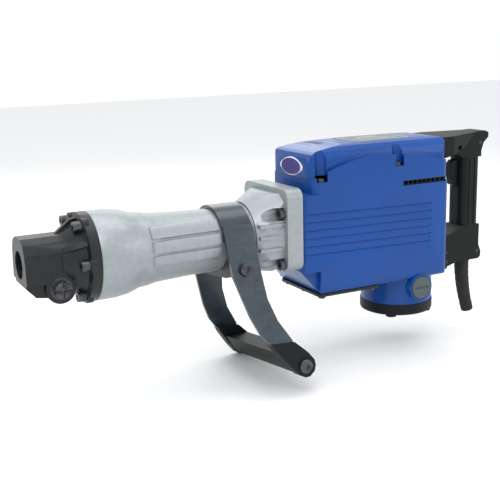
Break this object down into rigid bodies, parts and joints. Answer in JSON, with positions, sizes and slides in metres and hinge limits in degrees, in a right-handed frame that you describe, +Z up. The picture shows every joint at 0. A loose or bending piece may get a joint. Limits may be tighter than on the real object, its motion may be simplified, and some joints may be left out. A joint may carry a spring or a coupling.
{
  "type": "demolition hammer",
  "caption": "Electric demolition hammer with a hexagonal tool socket, stirrup side handle, blue gear and motor housing, D-shaped rear handle and cord guard.",
  "frame": {"origin": "centre of the mouth of the tool socket", "axes": "+X along the hammer axis from the socket to the rear handle, +Z up, the near side of the tool is -Y"},
  "size_m": [0.731, 0.2035, 0.318],
  "materials": {
    "cast_black": "semi-gloss black enamel on cast iron",
    "cast_silver": "matte die-cast silver",
    "steel": "ground steel",
    "dark_steel": "blackened steel",
    "gunmetal": "dark grey satin paint",
    "blue": "die-cast aluminium under glossy blue paint",
    "black_plastic": "fine grained",
    "rubber": "matte",
    "teal_plate": "printed foil",
    "violet_badge": "domed, light rim",
    "copper": "copper",
    "brass": "bare",
    "carbon": "pressed carbon",
    "cap": "moulded dark grey green",
    "iron": "stacked sheets"
  },
  "bodies": {
    "tool": {"front_cover": "cast_black", "front_cover_bolts": "dark_steel", "hammer_holder": "steel", "damper_ring": "rubber", "impact_cylinder": "steel", "cylinder_case": "cast_silver", "cylinder_case_bolts": "dark_steel", "crank_case": "cast_silver", "motor_housing": "blue", "gear_cover": "blue", "gear_cover_screws": "dark_steel", "name_plate": "teal_plate", "front_badge": "violet_badge", "vent_grilles": "black_plastic", "bottom_cover": "cast_black", "bottom_cover_bolts": "dark_steel", "tail_cover": "black_plastic", "tail_cover_screws": "dark_steel", "brush_caps": "cap", "brush_holders": "brass", "carbon_brushes": "carbon", "brush_springs": "steel", "crank_bearings": "steel", "second_shaft_bearings": "steel", "stator": "iron", "motor_bearings": "steel", "handle_left": "black_plastic", "handle_right": "black_plastic", "handle_screws": "dark_steel", "handle_mount_bolts": "dark_steel", "switch_body": "black_plastic", "cord_guard": "rubber", "cord_clamp": "black_plastic"},
    "retainer": {"tool_retainer": "dark_steel", "retainer_clip": "steel"},
    "second_hammer": {"second_hammer": "dark_steel"},
    "striker": {"striker": "dark_steel", "striker_o_ring": "rubber"},
    "piston": {"piston": "steel", "piston_o_rings": "rubber", "piston_pin": "dark_steel"},
    "connecting_rod": {"connecting_rod": "steel"},
    "side_handle": {"side_handle_frame": "gunmetal", "clamp_saddle": "cast_black", "clamp_bolts": "dark_steel", "side_grip": "black_plastic", "grip_bolts": "dark_steel"},
    "crankshaft": {"crankshaft": "dark_steel", "final_gear": "steel"},
    "second_shaft": {"second_shaft": "dark_steel", "first_gear": "steel"},
    "armature": {"armature_shaft": "dark_steel", "armature_core": "copper", "commutator": "copper", "fan": "black_plastic"},
    "trigger": {"trigger": "black_plastic", "trigger_spring": "steel"}
  },
  "joints": [
    {"name": "retainer_turn", "type": "hinge", "parent": "tool", "child": "retainer", "pos_m": [0.042, 0, -0.029], "axis": [0, 1, 0], "range_deg": [0, 180]},
    {"name": "second_hammer_slide", "type": "slide", "parent": "tool", "child": "second_hammer", "axis": [1, 0, 0], "range_m": [-0.008, 0.006]},
    {"name": "striker_slide", "type": "slide", "parent": "tool", "child": "striker", "axis": [1, 0, 0], "range_m": [-0.005, 0.06]},
    {"name": "piston_slide", "type": "slide", "parent": "tool", "child": "piston", "axis": [1, 0, 0], "range_m": [0, 0.044]},
    {"name": "rod_swing", "type": "hinge", "parent": "piston", "child": "connecting_rod", "pos_m": [0.335, 0, 0], "axis": [0, 0, 1], "range_deg": [-11.5, 11.5]},
    {"name": "crank_spin", "type": "hinge", "parent": "tool", "child": "crankshaft", "pos_m": [0.467, 0, 0], "axis": [0, 0, 1], "continuous": true},
    {"name": "second_shaft_spin", "type": "hinge", "parent": "tool", "child": "second_shaft", "pos_m": [0.521, 0, 0], "axis": [0, 0, 1], "continuous": true},
    {"name": "armature_spin", "type": "hinge", "parent": "tool", "child": "armature", "pos_m": [0.572, 0, 0], "axis": [0, 0, 1], "continuous": true},
    {"name": "side_handle_turn", "type": "hinge", "parent": "tool", "child": "side_handle", "pos_m": [0.2805, 0, 0], "axis": [1, 0, 0], "range_deg": [-180, 180]},
    {"name": "trigger_pull", "type": "slide", "parent": "tool", "child": "trigger", "axis": [1, 0, 0], "range_m": [0, 0.008], "stiffness_N_per_m": 900, "springref_m": -0.006}
  ],
  "couplings": [
    {"joint": "second_shaft_spin", "follows": "crank_spin", "ratio": -3.5},
    {"joint": "armature_spin", "follows": "crank_spin", "ratio": 16.333}
  ]
}
